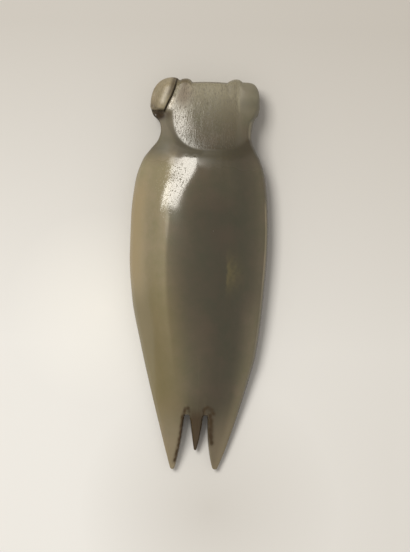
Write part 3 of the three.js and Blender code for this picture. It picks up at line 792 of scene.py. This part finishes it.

# %% Painted highlights on the edges, and the eyes
# Painted reflections: a pale line just inside the right rim and one along the neck's right rim, where the rounded
# edge catches light.
painted_rim_reflection = soft_line(s - 0.966, 0.013) * smooth_step(0.28, 0.34, a) * (1 - 0.3 * smooth_step(0.5, 0.56, a))
painted_neck_rim_reflection = soft_line(s - 0.972, 0.018) * band(a, 0.1, 0.115, 0.15, 0.165)
pale_skin_and_painted_light = strongest(
    pale_skin_and_painted_light,
    # painted highlight: the window's reflection running on down the left crease
    0.95 * spot(x, y, (-5.2, 8.4), (0.5, 2.4)),
    painted_rim_reflection,
    0.85 * painted_neck_rim_reflection,
    on_eye * (0.95 + 0.05 * smooth_step(-7.4, -5.8, x)),
    0.2 * right_side * (1 - smooth_step(0.06, 0.14, a)),
    0.32 * left_side,
)
right_eye = smooth_step(5.5, 6.3, x) * smooth_step(25, 26.5, y)
right_eye_line = soft_line(x - 5.5 - 0.1 * (28.5 - y), 0.12) * band(y, 25.6, 26.4, 28, 29.5)
pale_skin_and_painted_light += 0.25 * right_eye_line
pale_skin_and_painted_light -= (0.04 + 0.2 * smooth_step(26, 27.5, y)) * right_eye
pale_skin_and_painted_light -= 0.12 * smooth_step(2.8, 4, x) * smooth_step(28.5, 29.5, y)

# %% Tints of the skin, with painted light in two of them
# Warm: a yellower tint on the left flank, and painted light there, on the side that faces the window.
warm_and_painted_light = smooth_step(0.7, 0.92, -s) * smooth_step(0.24, 0.33, a) * (1 - 0.85 * smooth_step(0.48, 0.6, a))
# Cream: the left eye's own paler colour, with painted highlights: a stripe down the eye and a band beside the crack
# on the shield.
cream_and_painted_highlight = strongest(
    0.8 * soft_line(from_crack - 0.5, 0.4) * band(y, 26, 26.6, 27.8, 28.8),
    on_eye * (0.12 + 0.5 * soft_line(from_crack + 1.15, 0.45)),
)
front = 0.8 * smooth_step(-3, -1.5, x) * (1 - smooth_step(0.04, 0.15, a))

# %% [markdown]
# Brown stain has crept in along the saw cuts, round the crack and over the left bump. The same dark
# brown also paints shade: on the left eye's side next to the crack, along the front edge of the brow and
# on the right rim's wall towards the tail. The left wing is olive towards the tail, and a lighter olive
# area on the right wing is a painted reflection. The points of the tail are thin enough for light to come
# through them, and that light is painted as a paler tint.

# %% Brown stains, and painted shade in the same brown
STAIN_HALF = 0.42  # half the width of a line of stain, in millimetres
STAIN_LINES = [  # strength, and the line's points in millimetres
    (0.85, [(-0.7, -21.9), (-0.95, -21.5), (-1.25, -21.6), (-1.5, -22.5)]),
    (0.85, [(1.56, -22.7), (1.68, -21.6), (2.31, -21.3), (2.96, -21.7), (3.15, -22.3)]),
    (1.1, [(2.75, -22.6), (2.87, -24.0), (2.85, -25.2), (3.0, -27.0)]),
]
STAIN_SPOTS = [  # strength, centre and size: three by the saw cuts, the neck's right rim and the left eye
    (0.4, (-0.95, -21.95), (0.6, 0.6)),
    (0.4, (2.3, -21.9), (0.7, 0.6)),
    (0.28, (0.6, -22.0), (3.0, 2.6)),
    (0.6, (7.55, 21.4), (0.4, 0.3)),
    (0.4, (-8.1, 26.7), (0.9, 0.7)),
]
OFF_EYE_SPOTS = [  # the same, but not on the left eye: behind it, and over the bump
    (0.7, (-5.6, 25.3), (0.7, 0.75)),
    (0.6, (-3.6, 31.1), (1.7, 0.9)),
]
patchy = 1 + 0.2 * ripple(x, y, 0.9, seed=21)
stain_and_painted_shade = none
for strength, line in STAIN_LINES:
    stain_and_painted_shade = strongest(stain_and_painted_shade, strength * soft_line(distance_to(np.array(line), x, y), STAIN_HALF) * patchy)
for strength, centre, size in STAIN_SPOTS:
    stain_and_painted_shade = strongest(stain_and_painted_shade, strength * spot(x, y, centre, size))
for strength, centre, size in OFF_EYE_SPOTS:
    stain_and_painted_shade = strongest(stain_and_painted_shade, strength * spot(x, y, centre, size) * (1 - on_eye))

left_cut = soft_line(to_fork - 0.3, 0.3) * band(-y, 21.5, 22.5, 29.8, 30.8) * (1 - smooth_step(-1.35, -1.1, x))
abdomen_end = (1 - smooth_step(0.6, 1.3, off_prong(x, a))) * smooth_step(0.82, 0.87, a)
brow_edge_painted_shade = band(x, -3, -2, 3.5, 4.5) * (1 - smooth_step(0.1, 0.4, y_front - y))
stain_and_painted_shade = strongest(
    stain_and_painted_shade,
    1.15 * left_cut * patchy,
    0.85 * abdomen_end,
    0.9 * behind_eye,
    # painted shade on the left eye's side next to the crack
    0.7 * soft_line(from_crack + 0.45, 0.35) * smooth_step(27.5, 29, y),
    # painted shade along the front edge of the brow
    0.45 * brow_edge_painted_shade,
    # painted shade on the right rim's wall towards the tail
    0.3 * smooth_step(0.98, 0.99, s) * smooth_step(0.5, 0.6, a),
)

# %% The olive tint, a painted reflection, the thin tail's painted light and the worn shoulder
olive_and_painted_reflection = (0.5 + 0.2 * smooth_step(0.5, 0.8, -s)) * smooth_step(0.1, 0.6, -s) * band(a, 0.42, 0.62, 0.82, 0.92)
# Painted reflection: a lighter olive area right of the right crease, with a crisp edge on the crease, stands in for
# the reflection of a dim light on the right.
painted_reflection_patch = spot(x, y, (4.6, 0.2), (2.0, 2.5)) * smooth_step(4.4, 4.7, x + 0.12 * ripple(x, y, 1.3, seed=40))
olive_and_painted_reflection = strongest(olive_and_painted_reflection, 0.58 * painted_reflection_patch * (0.75 + 0.25 * ripple(x, y, 0.8, seed=41)))
# Painted light: the thin points of the tail are tinted paler for the light that comes through them.
thin_tail_painted_light = 0.55 * smooth_step(0.8, 0.95, a) * (1 - smooth_step(1.5, 5, z_top - z_low))
# Wear has pitted the left shoulder, but not the part next to the crown, whose edge slants.
worn = spot(x, y, (-4.4, 14), (3.6, 6.4), 2) * (1 - smooth_step(-0.7, 0.4, x + 0.4 - 0.46 * (y - 18.2)))


# %% Keep the maps on the mesh
def keep(piece, name, top, bottom):
    """Stores a value for each vertex: the top sheet's, then the inner ones of the bottom sheet."""
    values = np.concatenate([top.ravel(), bottom[1:-1, 1:-1].ravel()])
    layer = piece.data.attributes.new(name, "FLOAT", "POINT")
    layer.data.foreach_set("value", np.clip(values, 0, 1).astype(np.float32))


both_sides = {"pale_skin_and_painted_light": pale_skin_and_painted_light, "warm_and_painted_light": warm_and_painted_light, "front": front, "olive_and_painted_reflection": olive_and_painted_reflection, "stain_and_painted_shade": stain_and_painted_shade, "thin_tail_painted_light": thin_tail_painted_light}
back_only = {
    "dirt": dirt,
    "shield": shield * (1 - 0.5 * smooth_step(-1, 3, x)),
    "cream_and_painted_highlight": cream_and_painted_highlight,
    "valley_painted_shade": shade,
    "grain": 0.65 * shield + 0.4 * on_eye,
    "worn": worn,
    "pink": strongest(pink, 0.15 * on_eye),
}
maps = {
    **{name: (values, values) for name, values in both_sides.items()},
    **{name: (values, none) for name, values in back_only.items()},
    "roughness": (roughness, none + BELLY_FINISH),
}
for name, (top, bottom) in maps.items():
    keep(cicada, name, top, bottom)
print("maps:", ", ".join(maps))

# %% [markdown]
# ## Nephrite
#
# Nephrite is a felt of fine fibres, so light goes a little way in and comes out softened, and a polish
# gives it a waxy gloss rather than a glassy one. The Principled shader gives both, with a little
# subsurface light and an index of refraction of 1.62. The colour starts from two clouded tones, the
# stone's heart and its skin, and each map lays a tint over them. The skin and several tints are also
# painted light and shade.

# %% Colours, and one function that adds a node
def colour(code):
    """An sRGB hex colour as linear light, with full alpha."""
    channels = np.array([int(code[i:i + 2], 16) for i in (1, 3, 5)]) / 255
    linear = np.where(channels <= 0.04045, channels / 12.92, ((channels + 0.055) / 1.055) ** 2.4)
    return (*(float(c) for c in linear), 1.0)


def node(tree, kind, inputs=None, **settings):
    """Adds a node with its settings. An input that is a socket is linked, and any other is a value."""
    made = tree.nodes.new(kind)
    for name, value in settings.items():
        setattr(made, name, value)
    for key, value in (inputs or {}).items():
        if isinstance(value, bpy.types.NodeSocket):
            tree.links.new(value, made.inputs[key])
        else:
            made.inputs[key].default_value = value
    return made


# %% The stone's colours
# The heart and the skin each go between two colours, in clouds. The maps lay the tints over them, and some of those
# are painted light and shade.
# The skin's colours also serve as painted light: on the flank that faces the window, in the thin tail and in the pale
# highlight lines.
HEART, SKIN_AND_LIGHT_TONES = ("#3b3a2c", "#443c2f"), ("#847d60", "#92866d")
HEAD_SKIN = "#938e7b"
# The valley tint is painted shade, and the olive, warm, thin and cream tints also hold painted light.
TINTS = {"olive_and_painted_reflection": "#70653f", "warm_and_painted_light": "#908160", "thin_tail_painted_light": "#857963", "valley_painted_shade": "#342c08", "pink": "#736653",
         "cream_and_painted_highlight": "#a3977e"}
GRAIN_LINE = "#4a412e"
# The stain's dark brown also paints shade along some edges.
SOIL = {"stain_and_painted_shade": "#362400", "dirt": "#2a1d0a"}

# %% [markdown]
# The scale of a noise is one over the size of its blotches, here in millimetres. The clouds are as large
# as the stone shows them. Real grinding marks and pits are finer than a pixel, which is 0.16 mm of the
# object, so both are drawn just coarse enough to show.

# %% The stone's patterns and finish
CLOUDS = {"Scale": 1 / 5, "Detail": 4, "Roughness": 0.65}
STREAKS = {"Scale": 1 / 0.14, "Detail": 3, "Roughness": 0.6}
PITS = {"Scale": 1 / 0.26, "Detail": 1, "Roughness": 0.5}
CLOUD_RANGE = {"From Min": 0.35, "From Max": 0.65}  # the part of a noise's values that is spread over 0 to 1
GRAIN_RANGE = {"From Min": 0.45, "From Max": 0.65}
PIT_RANGE = {"From Min": 0.55, "From Max": 0.65}
STREAK_STRETCH = 0.15  # streaks are longer along the body than across, as 1 to this
MARK_RISE, PIT_RISE = 0.8, 0.18  # how much of the bump's height the grinding marks and the pits use
BUMP_HEIGHT, BUMP_STRENGTH = 0.08, 0.3  # the height in millimetres
PIT_DULL = 0.4  # roughness in the pits
WAX = {"IOR": 1.62, "Subsurface Weight": 0.15, "Subsurface Radius": (1.0, 0.9, 0.6),
       "Subsurface Scale": 1.5 * MM}


# %% Polished nephrite
def stone_colour(tree, kept, in_mm, grain):
    """The heart, then a paler tone, which is partly painted light, then the tints, some of them painted
    light and shade, the grinding marks, the stains, which also paint shade, and the dirt, each mixed in by
    its share. A Mix node's sockets 6 and 7 are its two colours."""
    noise = node(tree, "ShaderNodeTexNoise", {"Vector": in_mm, **CLOUDS}).outputs["Fac"]
    clouds = node(tree, "ShaderNodeMapRange", {"Value": noise, **CLOUD_RANGE}).outputs[0]
    heart, skin_and_light = (
        node(tree, "ShaderNodeMix", {0: clouds, 6: colour(one), 7: colour(other)}, data_type="RGBA").outputs[2]
        for one, other in (HEART, SKIN_AND_LIGHT_TONES)
    )
    skin_and_light = node(tree, "ShaderNodeMix", {0: kept["front"], 6: skin_and_light, 7: colour(HEAD_SKIN)}, data_type="RGBA").outputs[2]
    layers = [
        (kept["pale_skin_and_painted_light"], skin_and_light),
        *((kept[name], colour(code)) for name, code in TINTS.items()),
        (grain, colour(GRAIN_LINE)),
        *((kept[name], colour(code)) for name, code in SOIL.items()),
    ]
    body = heart
    for share, over in layers:
        body = node(tree, "ShaderNodeMix", {0: share, 6: body, 7: over}, data_type="RGBA").outputs[2]
    return body


def stone_finish(tree, kept, in_mm, streaks, grain):
    """The roughness and the bump. The polish is smooth but for fine pits where it is worn, and on the
    shield the bump is the grinding marks, which run along it."""
    noise = node(tree, "ShaderNodeTexNoise", {"Vector": in_mm, **PITS}).outputs["Fac"]
    pits = node(tree, "ShaderNodeMapRange", {"Value": noise, **PIT_RANGE}).outputs[0]
    pits = node(tree, "ShaderNodeMath", {0: pits, 1: kept["worn"]}, operation="MULTIPLY").outputs[0]
    shallow = node(tree, "ShaderNodeMapRange", {"Value": pits, "To Min": PIT_RISE, "To Max": 0}).outputs[0]
    marks = node(tree, "ShaderNodeMapRange", {"Value": streaks, "To Max": MARK_RISE}).outputs[0]
    relief = node(tree, "ShaderNodeMix", {0: kept["shield"], 2: shallow, 3: marks}).outputs[0]
    bump = node(tree, "ShaderNodeBump", {"Height": relief, "Strength": BUMP_STRENGTH,
                                         "Distance": BUMP_HEIGHT * MM}).outputs[0]
    roughness = kept["roughness"]
    dull = node(tree, "ShaderNodeMapRange", {"Value": pits, "To Max": PIT_DULL}).outputs[0]
    for other in (dull, grain):
        roughness = node(tree, "ShaderNodeMath", {0: roughness, 1: other}, operation="MAXIMUM").outputs[0]
    return roughness, bump


def nephrite():
    """Reads the maps, draws the streaks of the grain, and joins the colour and the finish in one shader."""
    material = bpy.data.materials.new("polished_nephrite")
    material.use_nodes = True
    tree = material.node_tree
    tree.nodes.clear()
    kept = {name: node(tree, "ShaderNodeAttribute", attribute_name=name).outputs["Fac"] for name in maps}
    place = node(tree, "ShaderNodeTexCoord").outputs["Object"]
    in_mm = node(tree, "ShaderNodeMapping", {"Vector": place, "Scale": (1 / MM, 1 / MM, 1 / MM)}).outputs[0]
    along_grain = node(tree, "ShaderNodeMapping", {"Vector": in_mm, "Scale": (1, STREAK_STRETCH, 1)}).outputs[0]
    streaks = node(tree, "ShaderNodeTexNoise", {"Vector": along_grain, **STREAKS}).outputs["Fac"]
    grain = node(tree, "ShaderNodeMapRange", {"Value": streaks, **GRAIN_RANGE}).outputs[0]
    grain = node(tree, "ShaderNodeMath", {0: grain, 1: kept["grain"]}, operation="MULTIPLY").outputs[0]
    roughness, bump = stone_finish(tree, kept, in_mm, streaks, grain)
    surface = node(tree, "ShaderNodeBsdfPrincipled", {
        "Base Color": stone_colour(tree, kept, in_mm, grain), "Roughness": roughness, "Normal": bump, **WAX,
    })
    node(tree, "ShaderNodeOutputMaterial", {"Surface": surface.outputs[0]})
    return material


cicada.data.materials.append(nephrite())
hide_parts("cicada")
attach(cicada, "root")
print("material:", cicada.data.materials[0].name, "with", len(cicada.data.materials[0].node_tree.nodes), "nodes")

# %% [markdown]
# ## The paper, the light and the camera
#
# The cicada lies on pale paper under a window. The window is an area light to the left and towards the
# head, and high, so that the shadow is short. Its reflection is the bright patch on the left shoulder.
# The pale room lights the rest. The camera looks straight down from 40 cm.

# %% Paper
# The paper's tone is even but for painted light and shade: shade towards the right and the head, a shadow by the
# tail, and light beside the left flank.
PAPER_TONE, PAPER_SHADE_TONE, PAPER_LIT_TONE = "#e7e8e9", "#aaa59e", "#fffffb"
PAPER_FINISH = 0.9  # rough fibres with no gloss
# Where the painted shade and light change, from and to, in metres, and how much of the shade tone, or of the lit tone
# beside the flank, there is at each end.
PAINTED_SHADE_RIGHT = (-0.021, 0.032, 0, 0.26)
PAINTED_SHADE_HEAD = (-0.012, 0.04, 0, 0.58)
TAIL_PLACE, PAINTED_SHADOW_TAIL = (0.003, -0.038, 0), (0, 0.021, 0.4, 0)
FLANK_PLACE, PAINTED_LIGHT_FLANK = (-0.015, -0.006, 0), (0, 0.016, 0.35, 0)


def paper(size=1.2):
    """A square sheet with painted light and shade: painted shade a little towards the right, more towards
    the head, and a soft painted shadow by the tail. Beside the left flank it has painted light."""
    mesh = bpy.data.meshes.new("paper")
    half = size / 2
    mesh.from_pydata([(-half, -half, 0), (half, -half, 0), (half, half, 0), (-half, half, 0)], [], [(0, 1, 2, 3)])
    sheet = bpy.data.objects.new("paper", mesh)
    bpy.context.scene.collection.objects.link(sheet)
    material = bpy.data.materials.new("matt_paper")
    material.use_nodes = True
    tree = material.node_tree
    place = node(tree, "ShaderNodeTexCoord").outputs["Object"]
    x, y = node(tree, "ShaderNodeSeparateXYZ", {"Vector": place}).outputs[:2]
    by_tail, by_flank = (
        node(tree, "ShaderNodeVectorMath", {0: place, 1: centre}, operation="DISTANCE").outputs[1]
        for centre in (TAIL_PLACE, FLANK_PLACE)
    )
    tone, shade_tone, lit_tone = colour(PAPER_TONE), colour(PAPER_SHADE_TONE), colour(PAPER_LIT_TONE)
    for value, change, over in ((x, PAINTED_SHADE_RIGHT, shade_tone), (y, PAINTED_SHADE_HEAD, shade_tone), (by_tail, PAINTED_SHADOW_TAIL, shade_tone),
                                (by_flank, PAINTED_LIGHT_FLANK, lit_tone)):
        share = node(tree, "ShaderNodeMapRange", {0: value, **dict(enumerate(change, 1))}).outputs[0]
        tone = node(tree, "ShaderNodeMix", {0: share, 6: tone, 7: over}, data_type="RGBA").outputs[2]
    surface = tree.nodes["Principled BSDF"]
    tree.links.new(tone, surface.inputs["Base Color"])
    surface.inputs["Roughness"].default_value = PAPER_FINISH
    mesh.materials.append(material)


paper()


# %% Lights
def window(name, azimuth, elevation, distance, width, height, power, tint):
    """An area light that faces the cicada from an azimuth, counter-clockwise from +X, and an elevation. Its
    height lies along the body, so its reflection has sides along and across it."""
    light = bpy.data.lights.new(name, "AREA")
    light.shape = "RECTANGLE"
    light.size, light.size_y = width, height
    light.energy = power
    light.color = colour(tint)[:3]
    lamp = bpy.data.objects.new(name, light)
    turn, rise = math.radians(azimuth), math.radians(elevation)
    lamp.location = (distance * math.cos(rise) * math.cos(turn), distance * math.cos(rise) * math.sin(turn),
                     distance * math.sin(rise))
    away = lamp.location.normalized()
    up = (Vector((0, 1, 0)) - away * away.y).normalized()
    lamp.rotation_mode = "QUATERNION"
    lamp.rotation_quaternion = Matrix((up.cross(away), up, away)).transposed().to_quaternion()
    bpy.context.scene.collection.objects.link(lamp)


# Sizes are in metres and the power is in watts.
window("window_left", azimuth=138.4, elevation=60.1, distance=1.4, width=0.58, height=0.6, power=14, tint="#fffaf0")

ROOM_TINT, ROOM_STRENGTH = "#f3ece2", 0.54
world = bpy.data.worlds.new("room")
world.use_nodes = True
world.node_tree.nodes["Background"].inputs["Color"].default_value = colour(ROOM_TINT)
world.node_tree.nodes["Background"].inputs["Strength"].default_value = ROOM_STRENGTH
bpy.context.scene.world = world

# %% Camera
PHOTO_HEIGHT = 552  # pixels, the longer side, which is the one that the sensor's width covers
PIXELS_PER_MM = 6.233
CAMERA_HEIGHT = 400  # millimetres over the rim, which is where the photo's scale is true
RIM_HEIGHT = 3
LEAN = 1.87  # degrees that the object leans to the right in the photo
PHOTO_CENTRE = (1.14, -0.23)  # what the middle of the photo shows, in millimetres

camera_data = bpy.data.cameras.new("camera")
camera_data.lens = camera_data.sensor_width * CAMERA_HEIGHT * PIXELS_PER_MM / PHOTO_HEIGHT
camera_data.clip_start, camera_data.clip_end = 0.01, 10
camera = bpy.data.objects.new("camera", camera_data)
camera.location = (PHOTO_CENTRE[0] * MM, PHOTO_CENTRE[1] * MM, (CAMERA_HEIGHT + RIM_HEIGHT) * MM)
camera.rotation_euler = (0, 0, math.radians(LEAN))
bpy.context.scene.collection.objects.link(camera)
bpy.context.scene.camera = camera
bpy.context.scene.view_settings.view_transform = "Standard"
print(f"camera: lens {camera_data.lens:.0f} mm")
